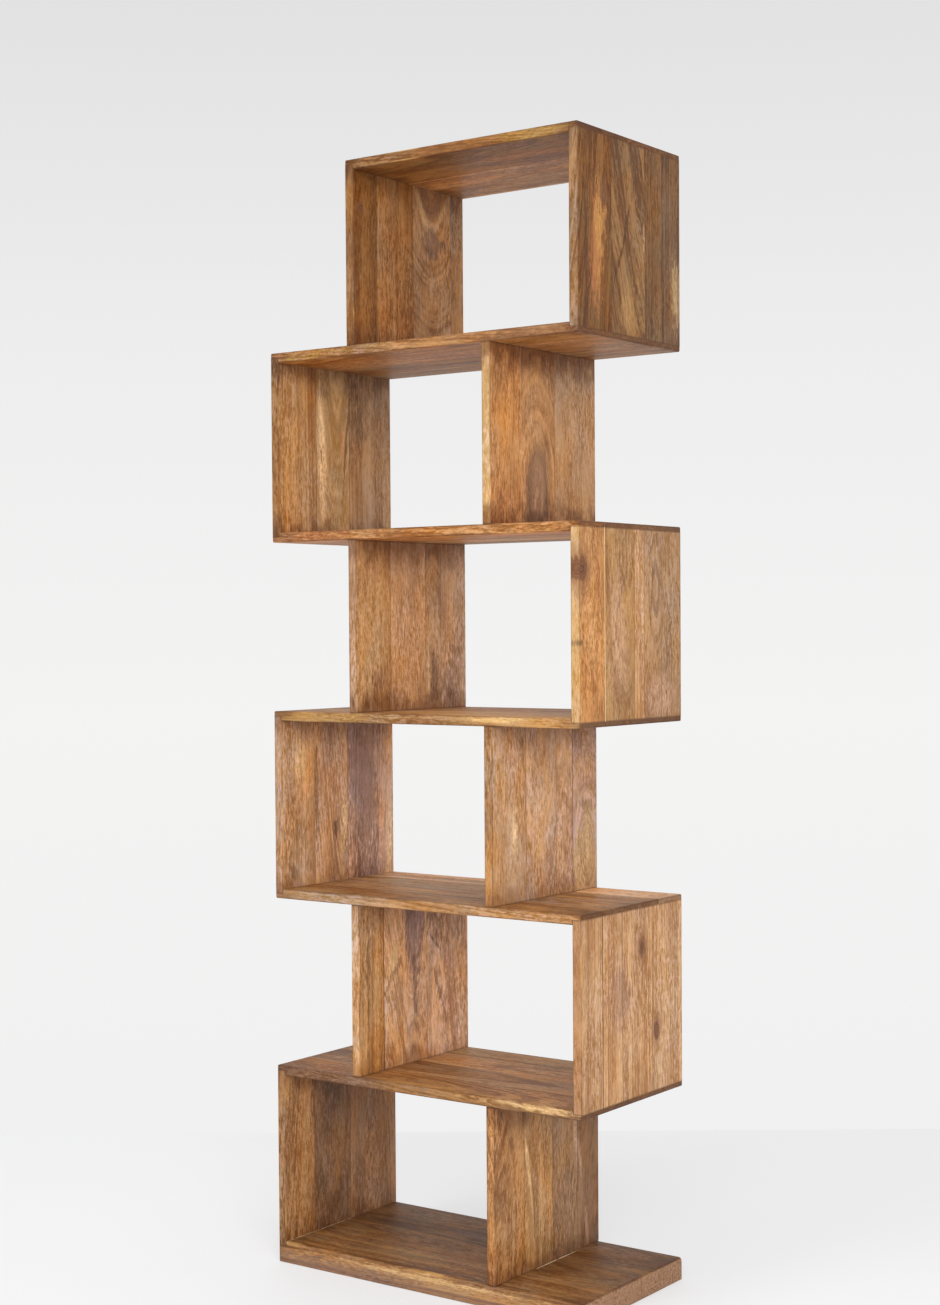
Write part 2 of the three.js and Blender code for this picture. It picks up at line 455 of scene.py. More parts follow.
# the long axis, the thin axis and the material of a board with its grain along x or along z
boards_by_grain = {
    "x": (0, 2, oiled("oiled_hardwood_lying", "x")),
    "z": (2, 0, oiled("oiled_hardwood_upright", "z")),
}

upright_low, upright_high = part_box("upright_1_right")
upright_thickness = upright_high.x - upright_low.x
rebate = 8 * mm
shelf_arris = 2.4 * mm
joint_share = 0.15
smooth_below = math.radians(35)
glue_half_width = 0.45 * mm
glue_sink = 0.15 * mm
hole_radius = 3.15 * mm
hole_spare_depth = 1 * mm
hole_sides = 24
stroke_mm = (22, 48)
end_stroke = 30 * mm
hair = 0.1 * mm
sorting_base = 100000


def patch(along, across, half_long, half_wide, drift, wood, strength, into=0, half_deep=1000, ragged=1):
    """A patch of other wood in a stave, in mm from the stave's start, the front edge and the seen face.

    drift is how many mm it moves across for each mm along, and ragged is how uneven its edge is.
    """
    return (along, across, into), (half_long, half_wide, half_deep), (drift, strength, ragged), wood


far_off = 9000
no_patch = patch(far_off, far_off, 1, 1, 0, sapwood, 0)


@dataclasses.dataclass
class Stave:
    """One stave, in mm from the front edge and from its start, which is the left end or the top.

    to is its back edge, and light how light its tone is. heart is where the log's heart runs: how far
    across, and how deep behind the seen face at the stave's start and at its end. lean is how far the
    heart moves across in each 100 mm to the right or up. core is (radius, how dark, or below 0 how pale).
    knot is (from the start, across, radius). wander is how far the grain strays, and lively how strongly
    the rings show. stain, where given, is used in place of the board's: how dark the stave's
    ends are, partly oil stain and partly painted shade beside the joints. glue is how wide the line after
    this stave is, next to a plain one, and below 0 it is pale.
    """

    to: float
    tone: tuple
    light: float
    heart: tuple
    lean: float = 0
    wander: float = 4
    core: tuple = (0, 0)
    knot: tuple = (far_off, far_off, 1)
    patches: tuple = ()
    lively: float = 0.8
    stain: float = None
    glue: float = 1
    seed: int = dataclasses.field(default_factory=itertools.count(1).__next__)


def start_block(node, low, high):
    bpy.ops.mesh.primitive_cube_add(size=1, location=(low + high) / 2, scale=high - low)
    piece = bpy.context.object
    piece.name = "oiled_" + node
    piece.data.name = "oiled_" + node
    bpy.ops.object.transform_apply(location=True, rotation=True, scale=True)
    return piece


def cut_line(point, normal):
    bpy.ops.mesh.select_all(action="SELECT")
    bpy.ops.mesh.bisect(plane_co=point, plane_no=normal)


def ease_arrises(piece, low, high, width, share_at, long_axis):
    """Rounds the outer edges by hand plane, each by its share of the width and none quite evenly."""
    stroke = random.Random(piece.name)
    across_grain = [1.0 if axis == long_axis else 0.0 for axis in range(3)]
    bpy.ops.object.mode_set(mode="EDIT")
    place = low[long_axis] + end_stroke
    while place < high[long_axis] - end_stroke:
        cut_line([place * part for part in across_grain], across_grain)
        place += stroke.uniform(*stroke_mm) * mm
    bpy.ops.object.mode_set(mode="OBJECT")
    weights = piece.data.attributes.new("bevel_weight_edge", "FLOAT", "EDGE")
    shape = bmesh.new()
    shape.from_mesh(piece.data)
    shares = []
    for edge in shape.edges:
        middle = (edge.verts[0].co + edge.verts[1].co) / 2
        run = (edge.verts[1].co - edge.verts[0].co).normalized()
        lengthways = abs(run[long_axis]) > 0.5
        share = share_at(middle, lengthways)
        if lengthways and share > joint_share:
            share *= stroke.uniform(0.5, 1.0)
        outer = edge.calc_face_angle_signed() > 0.5
        shares.append(share if outer else 0.0)
    shape.free()
    weights.data.foreach_set("value", shares)
    rounding = piece.modifiers.new("arrises", "BEVEL")
    rounding.limit_method = "WEIGHT"
    rounding.width = width
    rounding.segments = 3
    rounding.use_clamp_overlap = False
    bpy.ops.object.modifier_apply(modifier=rounding.name)


def mark_staves(low, high, staves, thin_axis):
    """Cuts the board along each glue line and sinks the line a little."""
    factor = [1.0, 1.0, 1.0]
    factor[thin_axis] = 1 - 2 * glue_sink / (high[thin_axis] - low[thin_axis])
    bpy.ops.object.mode_set(mode="EDIT")
    bpy.ops.mesh.select_mode(type="VERT")
    for one in staves[:-1]:
        line = low.y + one.to * mm
        half_width = abs(one.glue) * glue_half_width
        for step in (-half_width, half_width, 0):
            cut_line((0, line + step, 0), (0, 1, 0))
        bpy.ops.transform.resize(value=factor, center_override=(low + high) / 2)
    bpy.ops.object.mode_set(mode="OBJECT")


def take_up(piece):
    bpy.ops.object.select_all(action="DESELECT")
    piece.select_set(True)
    bpy.context.view_layer.objects.active = piece


def drill(piece, dowels):
    """Bores the holes for the dowels that end in this board, given the start of their names."""
    drills = []
    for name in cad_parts:
        if not name.startswith(dowels):
            continue
        low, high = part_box(name)
        depth = high.z - low.z + hole_spare_depth
        bpy.ops.mesh.primitive_cylinder_add(
            vertices=hole_sides, radius=hole_radius, depth=depth, location=(low + high) / 2
        )
        drills.append(bpy.context.object)
    for one in drills:
        one.select_set(True)
    bpy.context.view_layer.objects.active = drills[0]
    bpy.ops.object.join()
    cutter = bpy.context.object
    take_up(piece)
    boring = piece.modifiers.new("holes", "BOOLEAN")
    boring.operation = "DIFFERENCE"
    boring.object = cutter
    boring.solver = "EXACT"
    bpy.ops.object.modifier_apply(modifier=boring.name)
    bpy.data.objects.remove(cutter)


def on_arris(face, low, high, width, grain):
    """Whether a face is on a rounded edge: square to no axis, and near two sides of the box."""
    square_on = 0.985
    toward_end = 0.2
    if max(abs(part) for part in face.normal) > square_on:
        return False
    if grain == "z" and abs(face.normal.z) > toward_end:
        return False
    place = face.center
    near = [min(place[i] - low[i], high[i] - place[i]) < width for i in range(3)]
    return sum(near) > 1


def glue_at(staves, across):
    for one in staves[:-1]:
        if abs(across - one.to) * mm < abs(one.glue) * glue_half_width:
            return float(one.glue)
    return 0.0


def lit(colour, light=1.0):
    return (*(part * light for part in colour), 1.0)


def stave_notes(one, start, end, front_edge, seen, stain):
    """How a stave was sawn from its log, as the wood's shader reads it on each of its faces."""
    way = 1 if end > start else -1

    def at(from_start, across, into=0):
        return start + way * from_start * mm, front_edge + across * mm, seen + into * mm

    slope = one.lean / 100
    heart_across, depth_at_start, depth_at_end = one.heart
    tilt = (depth_at_end - depth_at_start) * mm / (end - start)
    _, heart_y, depth = at(0, heart_across, depth_at_start)
    knot_from, knot_across, knot_radius = one.knot
    core_radius, core_strength = one.core
    notes = {
        "heart": (heart_y - slope * (start + end) / 2, depth - tilt * start, tilt),
        "figure": (one.seed, one.wander * mm, slope),
        "knot": (*at(knot_from, knot_across)[:2], knot_radius * mm),
        "core": (core_radius * mm, core_strength, one.lively),
        "ends": (start, end, stain if one.stain is None else one.stain),
    }
    for name, spot in itertools.zip_longest(patch_names, one.patches, fillvalue=no_patch):
        middle, reach, (drift, strength, ragged), wood = spot
        notes[name] = at(*middle)
        notes[name + "_reach"] = [part * mm for part in reach]
        notes[name + "_look"] = (way * drift, strength, ragged)
        notes[name + "_wood"] = lit(wood)
    return notes


def note(piece, name, rows):
    kinds = {1: ("FLOAT", "value"), 3: ("FLOAT_VECTOR", "vector"), 4: ("FLOAT_COLOR", "color")}
    kind, field = kinds[len(rows[0])]
    layer = piece.data.attributes.new(name, kind, "FACE")
    layer.data.foreach_set(field, [part for row in rows for part in row])


def lay_out_wood(piece, low, high, staves, grain, arris, front, clouds=1.0, stain=0.5, end_oil=1.0):
    """Notes on each face which stave it belongs to, and the tone, arris or glue line it shows.

    front is (tone, light) of the front edge. clouds is how much warmer and cooler parts show.
    stain is how dark the staves' ends are, partly oil stain and partly painted shade beside
    the joints. end_oil is how oily the sawn ends are, or below 0 how dry.
    """
    if grain == "z":
        start, end, seen = high.z, low.z, -high.x
    else:
        start, end, seen = low.x, high.x, -high.z
    facing_front = -0.4
    told = [stave_notes(one, start, end, low.y, seen, stain) for one in staves]
    rows = collections.defaultdict(list)
    for face in piece.data.polygons:
        across = (face.center.y - low.y) / mm
        which = next((i for i, one in enumerate(staves) if across < one.to), len(staves) - 1)
        (pale, dark), light = staves[which].tone, staves[which].light
        if across < arris / mm and face.normal.y < facing_front:
            (pale, dark), light = front
        notes = {
            **told[which],
            "pale_wood": lit(pale, light),
            "dark_wood": lit(dark, light),
            "arris": (float(on_arris(face, low, high, arris, grain)),),
            "glue_line": (glue_at(staves, across),),
            "end_oil": (end_oil,),
            "clouding": (clouds,),
        }
        for name, value in notes.items():
            rows[name].append(value)
    for name, values in rows.items():
        note(piece, name, values)


def finish_board(piece, node, staves, grain, share_at, slot, arris=shelf_arris, dowels=(), **look):
    """Eases the arrises, glues the board up from its staves, bores it and gives it its wood."""
    low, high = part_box(node)
    long_axis, thin_axis, material = boards_by_grain[grain]
    ease_arrises(piece, low, high, arris, share_at, long_axis)
    mark_staves(low, high, staves, thin_axis)
    if dowels:
        drill(piece, dowels)
    lay_out_wood(piece, low, high, staves, grain, arris, **look)
    take_up(piece)
    bpy.ops.object.shade_smooth_by_angle(angle=smooth_below)
    evening = piece.modifiers.new("even_normals", "WEIGHTED_NORMAL")
    evening.keep_sharp = True
    bpy.ops.object.modifier_apply(modifier=evening.name)
    piece.data.materials.append(material)
    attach(piece, "root")
    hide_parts(node)


def near_one_of(value, others):
    return any(abs(value - other) < hair for other in others)


def pull_tongues(piece, tongues, shoulders, low, high):
    """Draws out half of the thickness at each rebated end. Gives the heights of the steps."""
    levels = []
    bpy.ops.object.mode_set(mode="EDIT")
    bpy.ops.mesh.select_mode(type="FACE")
    for end, half in tongues.items():
        level = high.z - rebate if half == "lower" else low.z + rebate
        if not near_one_of(level, levels):
            cut_line((0, 0, level), (0, 0, 1))
            levels.append(level)
        side = -1 if half == "lower" else 1
        bpy.ops.mesh.select_all(action="DESELECT")
        shape = bmesh.from_edit_mesh(piece.data)
        for face in shape.faces:
            middle = face.calc_center_median()
            face.select_set(near_one_of(middle.x, [shoulders[end]]) and (middle.z - level) * side > 0)
        bmesh.update_edit_mesh(piece.data)
        reach = -upright_thickness if end == "left" else upright_thickness
        bpy.ops.mesh.extrude_region_move(TRANSFORM_OT_translate={"value": (reach, 0, 0)})
    bpy.ops.object.mode_set(mode="OBJECT")
    put_in_order(piece)
    return levels


def put_in_order(piece):
    """Sorts the mesh by place, because an extrusion orders its parts in another way each run."""

    def place_of(part):
        points = part.verts if hasattr(part, "verts") else [part]
        middle = sum((point.co for point in points), Vector()) / len(points)
        x, y, z = (round(share / hair) for share in middle)
        return (x * sorting_base + y) * sorting_base + z

    shape = bmesh.new()
    shape.from_mesh(piece.data)
    for parts in (shape.verts, shape.edges, shape.faces):
        parts.sort(key=place_of)
    shape.to_mesh(piece.data)
    shape.free()


def lying_board(node, tongues, *staves, small_share=1.0, slot="shelf_wood", **rest):
    """tongues says which half of the thickness is left at each end that laps an upright.

    small_share is how much of the arris is taken off the underside and the left end.
    """
    low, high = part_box(node)
    body_low, body_high = low.copy(), high.copy()
    shoulders = {}
    if "left" in tongues:
        body_low.x += upright_thickness
        shoulders["left"] = body_low.x
    if "right" in tongues:
        body_high.x -= upright_thickness
        shoulders["right"] = body_high.x
    piece = start_block(node, body_low, body_high)
    levels = pull_tongues(piece, tongues, shoulders, low, high)

    def share_at(middle, _):
        if near_one_of(middle.z, levels) or near_one_of(middle.x, shoulders.values()):
            return joint_share
        on_underside = middle.z - low.z < hair
        under_upright = "left" in tongues and middle.x - low.x < hair
        return small_share if on_underside or under_upright else 1.0

    finish_board(piece, node, staves, "x", share_at, slot, **rest)


def upright_board(node, *staves, **rest):
    """Its ends are inside the joints, so their arrises are hardly eased."""
    piece = start_block(node, *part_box(node))

    def share_at(_, lengthways):
        return 1.0 if lengthways else joint_share

    finish_board(piece, node, staves, "z", share_at, "upright_wood", **rest)


# the staves of a lying board wander more and show stronger rings
lying_stave = functools.partial(Stave, wander=6, lively=1.2)

lying_board(
    "base_board", {"left": "lower"},
    lying_stave(
        88, amber, 0.61, heart=(-4, 41, 39), core=(15, 0.8), lively=1.0,
        patches=[
            patch(330, 12, 130, 7, 0, dark_oil, 0.5),
            patch(320, 0, 180, 6, 0, sapwood, 0.5, into=11, half_deep=6, ragged=1.4),
            # painted shade on the lower part of the front edge, near the floor
            patch(110, 0, 190, 6, 0, painted_shade_tone, 0.7, into=27, half_deep=12, ragged=1.4),
            patch(17, 45, 1.5, 50, 0, wax, 1, half_deep=3, ragged=0.4),
        ],
    ),
    lying_stave(
        170, amber, 0.50, heart=(130, -20, -60), wander=7,
        patches=[
            patch(17, 120, 1.5, 60, 0, wax, 1, half_deep=3, ragged=0.4),
            patch(441, 150, 1.4, 34, 0, wax, 1, half_deep=3, ragged=0.7),
        ],
    ),
    lying_stave(
        238, amber, 0.47, heart=(190, 30, 10), wander=7,
        patches=[
            patch(265, 206, 55, 9, 0, heartwood, 0.8),
            patch(441, 195, 1.4, 44, 0, wax, 1, half_deep=3, ragged=0.7),
        ],
    ),
    lying_stave(300, umber, 0.79, heart=(260, 20, 60), wander=4),
    front=(brown, 0.92), slot="base_wood", arris=6.5 * mm, small_share=0.3,
    dowels="dowel_6_foot", stain=0.3, end_oil=-0.6,
)


# Box 6, the lowest
# Its left upright stands flush in the base's rebate, dark towards the back; the right one is set in on
# dowels. The shelf over them laps the left one, and its right end is rebated for the next box's.
upright_board(
    "upright_6_left",
    Stave(76, amber, 1.06, heart=(-40, 60, 90)),
    Stave(172, umber, 1.01, heart=(120, 20, 60), lean=-3, lively=0.6),
    Stave(300, umber, 1.40, heart=(230, 40, 10), lively=0.6),
    front=(brown, 0.90),
)
upright_board(
    "upright_6_right",
    Stave(
        82, amber, 1.05, heart=(20, 70, 30), lean=14, wander=6,
        patches=[patch(18, 14, 16, 8, 0, dark_oil, 0.7)],
    ),
    Stave(
        162, honey, 0.97, heart=(70, 60, 20), lean=10, wander=6, lively=1.0,
        patches=[patch(100, 90, 82, 4, 0.13, sapwood, 0.7)],
    ),
    Stave(
        235, sand, 0.71, heart=(200, 30, 50), lean=8, wander=6,
        patches=[
            patch(100, 231, 65, 6, 0.14, (0.66, 0.42, 0.28), 0.6),
            # painted shade near the foot, towards the back
            patch(215, 200, 70, 38, 0, painted_shade_tone, 0.5, ragged=1.4),
        ],
    ),
    Stave(
        300, umber, 1.06, heart=(330, 60, 20), lean=8, stain=0.5,
        patches=[patch(120, 241, 40, 5, 0.14, pink, 0.5), patch(245, 262, 40, 5, 0.1, pink, 0.5)],
    ),
    front=(amber, 1.05), dowels="dowel_6", clouds=0.7, stain=0.7,
)
lying_board(
    "shelf_5", {"right": "lower", "left": "upper"},
    lying_stave(
        74, amber, 0.83, heart=(20, 20, 70),
        patches=[
            patch(505, 0, 105, 4, 0, sapwood, 0.7, into=7, half_deep=6, ragged=1.4),
            patch(90, 0, 110, 8, 0, heartwood, 0.55),
            patch(330, 8, 120, 10, 0, (0.52, 0.25, 0.08), 0.5),
        ],
    ),
    lying_stave(158, brown, 0.91, heart=(120, 20, 50)),
    lying_stave(236, brown, 1.25, heart=(200, 40, 10)),
    lying_stave(300, honey, 0.77, heart=(270, 20, 30), wander=4),
    front=(sand, 0.54), dowels=("dowel_5_foot", "dowel_6_head"),
)


# Box 5
# It steps to the right. The left upright, on dowels, has a dark forked figure; the flush right one, in
# rebates, is the palest of all, with narrow stripes and two small knots.
upright_board(
    "upright_5_left",
    Stave(
        64, honey, 1.11, heart=(-60, 20, 30), glue=2,
        patches=[
            patch(139, 22.5, 170, 3.5, 0, (0.22, 0.10, 0.045), 0.75),
            patch(139, 8, 170, 6, 0, (0.42, 0.21, 0.085), 0.5),
        ],
    ),
    Stave(
        115, sand, 1.38, heart=(60, 60, 20), lean=-14, lively=1.0,
        patches=[
            patch(105, 90, 38, 11, -0.1, sapwood, 0.8),
            patch(122, 92, 44, 6, -0.85, (0.34, 0.16, 0.075), 0.6, ragged=2.4),
        ],
    ),
    Stave(
        182, rose, 1.40, heart=(150, 10, 60), wander=14,
        patches=[
            patch(25, 145, 85, 27, 0.1, (0.33, 0.20, 0.18), 0.8, ragged=1.2),
            patch(150, 155, 65, 4, 0.06, (0.26, 0.14, 0.09), 0.8),
        ],
    ),
    Stave(
        300, rose, 1.55, heart=(225, 46, 30), wander=10,
        patches=[
            patch(75, 198, 22, 4, 1.1, heartwood, 0.7, ragged=2),
            patch(175, 222, 45, 3, 0.3, heartwood, 0.6),
            patch(185, 250, 35, 28, 0, (0.42, 0.19, 0.09), 0.4),
            # painted shade under the shelf, towards the back
            patch(20, 240, 60, 60, 0, painted_shade_tone, 0.5, ragged=1.5),
        ],
    ),
    front=(sand, 1.02), dowels="dowel_5",
)
upright_board(
    "upright_5_right",
    Stave(60, sand, 0.97, heart=(-200, 20, 20), lively=0.9, glue=2.2),
    Stave(
        118, sand, 1.08, heart=(-100, 20, 20), lively=0.9,
        patches=[patch(135, 112, 42, 28, 0, (0.33, 0.18, 0.13), 0.5, ragged=1.6)],
    ),
    Stave(
        206, sand, 1.04, heart=(300, 20, 40), knot=(62, 175, 8), lively=1.0,
        patches=[patch(135, 116, 46, 26, 0, (0.33, 0.18, 0.13), 0.5, ragged=1.6)],
    ),
    Stave(300, sand, 1.06, heart=(400, 20, 40), knot=(200, 217, 7), lively=1.0),
    front=(umber, 1.31), clouds=0.4, stain=0.15,
)
lying_board(
    "shelf_4", {"left": "lower", "right": "upper"},
    lying_stave(82, amber, 0.73, heart=(20, 40, 80)),
    lying_stave(162, sand, 0.71, heart=(120, 20, 60)),
    lying_stave(226, honey, 0.87, heart=(190, 40, 10)),
    lying_stave(300, sand, 1.37, heart=(260, 20, 30), wander=4),
    front=(sand, 0.75), dowels=("dowel_4_foot", "dowel_5_head"), end_oil=0.35,
)


# Box 4
# It steps to the left. A broad dark stave runs down the flush left upright; the right one, on dowels,
# is pale and cloudy with a dark arch near its back edge.
upright_board(
    "upright_4_left",
    Stave(
        84, sand, 1.15, heart=(-100, 20, 40), lively=0.6,
        patches=[
            patch(75, 48, 28, 12, 0, sapwood, 0.6, ragged=1.5),
            patch(220, 30, 50, 25, 0, (0.26, 0.13, 0.055), 0.5, ragged=1.5),
        ],
    ),
    Stave(
        172, rose, 1.25, heart=(190, 30, 80), lively=1.0,
        patches=[
            patch(205, 160, 60, 9, -0.12, sapwood, 0.9),
            patch(196, 137, 15, 7, 0, (0.20, 0.09, 0.04), 0.8, ragged=1.4),
            patch(120, 88, 110, 4, 0, (0.24, 0.115, 0.05), 0.6),
        ],
    ),
    Stave(
        300, plum, 1.61, heart=(230, 30, 30), lean=4,
        patches=[
            patch(300, 298, 250, 26, -0.06, (0.84, 0.56, 0.34), 0.85, ragged=0.6),
            patch(200, 243, 60, 5, 0, (0.66, 0.42, 0.28), 0.5),
            patch(110, 212, 190, 42, 0, (0.20, 0.11, 0.095), 0.55),
        ],
    ),
    front=(rose, 0.87), stain=0.6,
)
upright_board(
    "upright_4_right",
    Stave(
        92, sand, 1.03, heart=(62, 54, 6), lively=0.5,
        patches=[
            patch(165, 58, 40, 9, 0, (0.84, 0.56, 0.31), 0.7, ragged=1.3),
            patch(60, 62, 30, 9, 0, (0.72, 0.43, 0.27), 0.6, ragged=1.3),
        ],
    ),
    Stave(178, rose, 1.15, heart=(130, 20, 70), lively=0.5),
    Stave(
        226, rose, 1.21, heart=(200, 60, 20), lively=0.5, glue=1.5,
        patches=[patch(200, 206, 70, 22, 0, (0.36, 0.19, 0.12), 0.4)],
    ),
    Stave(
        300, plum, 1.27, heart=(268, 90, -30), core=(26, 0.15),
        patches=[
            patch(215, 265, 75, 30, 0, (0.68, 0.44, 0.20), 0.65, ragged=2),
            patch(138, 258, 9, 24, 0, (0.24, 0.12, 0.06), 0.65, ragged=2.4),
        ],
    ),
    front=(brown, 1.02), dowels="dowel_4",
)
lying_board(
    "shelf_3", {"right": "lower", "left": "upper"},
    lying_stave(
        70, honey, 0.87, heart=(20, 40, 80),
        patches=[
            patch(90, 0, 100, 4, 0, (0.60, 0.36, 0.12), 0.45, into=7, half_deep=7, ragged=1.6),
            patch(455, 0, 60, 4, 0, (0.76, 0.50, 0.20), 0.5, into=6, half_deep=5, ragged=1.6),
            patch(300, 4, 60, 8, 0, (0.30, 0.13, 0.05), 0.5, ragged=1.4),
        ],
    ),
    lying_stave(142, honey, 0.9, heart=(100, 40, 20)),
    lying_stave(232, brown, 1.1, heart=(190, 20, 60)),
    lying_stave(300, honey, 0.9, heart=(270, 20, 30), wander=4),
    front=(honey, 0.76), dowels=("dowel_3_foot", "dowel_4_head"),
)


# Box 3
# It steps to the right. The left upright is on dowels; the flush right one has a big dark knot that runs
# onto its front edge, and a narrow loop of rings near the back.
upright_board(
    "upright_3_left",
    Stave(
        90, honey, 1.07, heart=(-80, 20, 30), lively=0.4,
        patches=[patch(222, 54, 16, 14, 0, (0.34, 0.16, 0.07), 0.7, ragged=1.6)],
    ),
    Stave(185, sand, 1.18, heart=(140, 60, 30), lively=0.4),
    Stave(
        228, sand, 0.96, heart=(206, 58, -8),
        patches=[
            patch(215, 209, 52, 11, 0, (0.22, 0.11, 0.055), 0.75),
            patch(215, 191, 45, 3, 0, sapwood, 0.6),
        ],
    ),
    Stave(
        300, rose, 1.16, heart=(330, 20, 20), lively=0.4,
        # painted shade near the foot, towards the back
        patches=[patch(240, 265, 50, 45, 0, painted_shade_tone, 0.35, ragged=1.4)],
    ),
    front=(rose, 0.88), dowels="dowel_3", clouds=0.6, stain=0.8,
)
upright_board(
    "upright_3_right",
    Stave(
        71, amber, 1.28, heart=(-60, 20, 30), knot=(64, 8, 11), lively=0.4, glue=-2,
        patches=[
            patch(174, 5, 6, 5, 0, (0.16, 0.085, 0.03), 0.85, ragged=0.5),
            patch(150, 52, 90, 15, 0, (0.52, 0.22, 0.06), 0.25),
        ],
    ),
    Stave(
        157, honey, 0.82, heart=(128, 20, 60), lively=0.7,
        patches=[patch(85, 124, 35, 3, -0.4, heartwood, 0.4), patch(170, 105, 80, 26, 0, pink, 0.4)],
    ),
    Stave(186, sand, 1.10, heart=(-200, 20, 20)),
    Stave(
        238, sand, 0.76, heart=(222, 22, -50), core=(12, 0.6),
        patches=[
            patch(105, 209, 50, 2, -0.08, (0.22, 0.10, 0.05), 0.7),
            patch(262, 232, 28, 34, 0, pink, 0.5, ragged=1.4),
        ],
    ),
    Stave(
        300, sand, 0.72, heart=(300, 20, 30), lively=0.5,
        patches=[patch(262, 240, 28, 34, 0, pink, 0.5, ragged=1.4)],
    ),
    front=(cream, 0.79), clouds=0.45, stain=0.1,
)
lying_board(
    "shelf_2", {"left": "lower", "right": "upper"},
    lying_stave(
        66, russet, 1.53, heart=(20, 40, 80),
        patches=[patch(90, 0, 110, 3, 0, (0.42, 0.16, 0.07), 0.45, ragged=1.4)],
    ),
    lying_stave(155, amber, 1.46, heart=(110, 40, 10)),
    lying_stave(224, honey, 1.25, heart=(190, 20, 60)),
    lying_stave(300, honey, 0.79, heart=(260, 20, 30), wander=4),
    front=(amber, 1.01), dowels=("dowel_2_foot", "dowel_3_head"),
)


# Box 2
# It steps to the left. The flush left upright is striped, with a pale streak; the right one, on dowels,
# has a dark nested arch that rises from its foot.
upright_board(
    "upright_2_left",
    Stave(96, honey, 1.00, heart=(-300, 20, 20), wander=2, lively=1.0),
    Stave(
        184, cream, 0.74, heart=(150, 6, 60), wander=7, core=(26, -0.3), lively=1.0,
        patches=[
            patch(135, 107, 140, 11, 0.03, (0.94, 0.63, 0.33), 0.85),
            patch(120, 178, 125, 3.5, -0.13, dark_oil, 0.55),
            patch(130, 166, 30, 5, 0, (0.72, 0.32, 0.13), 0.6),
        ],
    ),
    Stave(
        300, sand, 0.75, heart=(290, 30, 30),
        patches=[patch(45, 215, 65, 32, 0, (0.17, 0.105, 0.055), 0.45, ragged=1.8)],
    ),
    front=(brown, 0.75), clouds=0.8, stain=0.8,
)
upright_board(
    "upright_2_right",
    Stave(83, amber, 1.20, heart=(-60, 30, 20), lively=0.3, glue=-1),
    Stave(
        178, brown, 1.36, heart=(128, 88, -14), wander=2, core=(31, 0.4), lively=0.5,
        patches=[
            patch(238, 130, 94, 36, 0, (0.19, 0.095, 0.045), 0.95, ragged=0.15),
            patch(252, 130, 86, 20, 0, (0.40, 0.215, 0.115), 0.85, ragged=0.4),
            patch(275, 131, 54, 8, 0, (0.24, 0.12, 0.06), 0.8, ragged=0.6),
        ],
    ),
    Stave(300, sand, 0.87, heart=(400, 20, 20), lively=0.3),
    front=(cream, 0.84), dowels="dowel_2", clouds=0.65, stain=1.0,
)
lying_board(
    "shelf_1", {"right": "lower", "left": "upper"},
    lying_stave(
        72, russet, 1.00, heart=(20, 40, 80),
        patches=[
            patch(100, 0, 90, 3, 0, (0.50, 0.32, 0.07), 0.6, into=9, half_deep=7, ragged=1.4),
            patch(525, 0, 85, 3, 0, (0.22, 0.10, 0.045), 0.55, ragged=1.4),
        ],
    ),
    lying_stave(146, amber, 1.20, heart=(110, 40, 10)),
    lying_stave(218, amber, 0.81, heart=(190, 20, 60)),
    lying_stave(300, brown, 1.03, heart=(260, 20, 30), wander=4),
    front=(brown, 1.01), dowels=("dowel_1_foot", "dowel_2_head"),
)


# Box 1, the topmost
# Its uprights end in rebates of the short top board. The right one has wavy, gold-streaked wood and a
# dark knot; the left one, on dowels, a nested figure that hangs from the top.
upright_board(
    "upright_1_left",
    Stave(61, russet, 0.60, heart=(-60, 20, 40), knot=(66, 20, 4)),
    Stave(113, amber, 0.86, heart=(-100, 20, 40)),
    Stave(158, russet, 0.80, heart=(-200, 20, 40)),
    Stave(
        264, brown, 1.07, heart=(210, -2, 148), wander=5, core=(31, 0.55),
        patches=[
            patch(42, 182, 34, 8, 0.55, sapwood, 0.6, ragged=1.4),
            patch(42, 241, 32, 6, -0.6, sapwood, 0.5, ragged=1.6),
            patch(69, 214, 8, 22, 0, (0.66, 0.40, 0.22), 0.5),
            patch(98, 222, 20, 30, 0, (0.17, 0.09, 0.06), 0.6, ragged=1.6),
        ],
    ),
    Stave(300, brown, 1.06, heart=(400, 20, 20), lively=0.5),
    front=(brown, 0.64), dowels="dowel_1",
)
upright_board(
    "upright_1_right",
    Stave(
        94, russet, 0.42, heart=(-20, 20, 60), wander=13, knot=(90, 73, 5), lively=1.4,
        patches=[
            patch(165, 56, 80, 24, 0.03, (0.46, 0.165, 0.06), 0.65, ragged=1.4),
            patch(160, 64, 68, 12, 0.03, (0.54, 0.28, 0.07), 0.6, ragged=2),
            patch(150, 22, 140, 4, 0.05, dark_oil, 0.7),
        ],
    ),
    Stave(
        192, amber, 0.56, heart=(60, 60, 20), lean=-20, wander=13, lively=1.5,
        patches=[
            patch(150, 130, 66, 4.5, -0.38, dark_oil, 0.85),
            patch(250, 148, 45, 26, 0, (0.50, 0.29, 0.11), 0.6, ragged=1.8),
            patch(140, 183, 32, 3, 0, (0.55, 0.31, 0.15), 0.7),
        ],
    ),
    Stave(244, amber, 0.46, heart=(300, 30, 30), wander=6, lively=1.0),
    Stave(
        300, umber, 0.64, heart=(400, 20, 20), wander=6, lively=1.0,
        patches=[patch(215, 284, 50, 14, 0.05, (0.60, 0.40, 0.20), 0.6, ragged=1.4)],
    ),
    front=(sand, 0.50), stain=0.15,
)
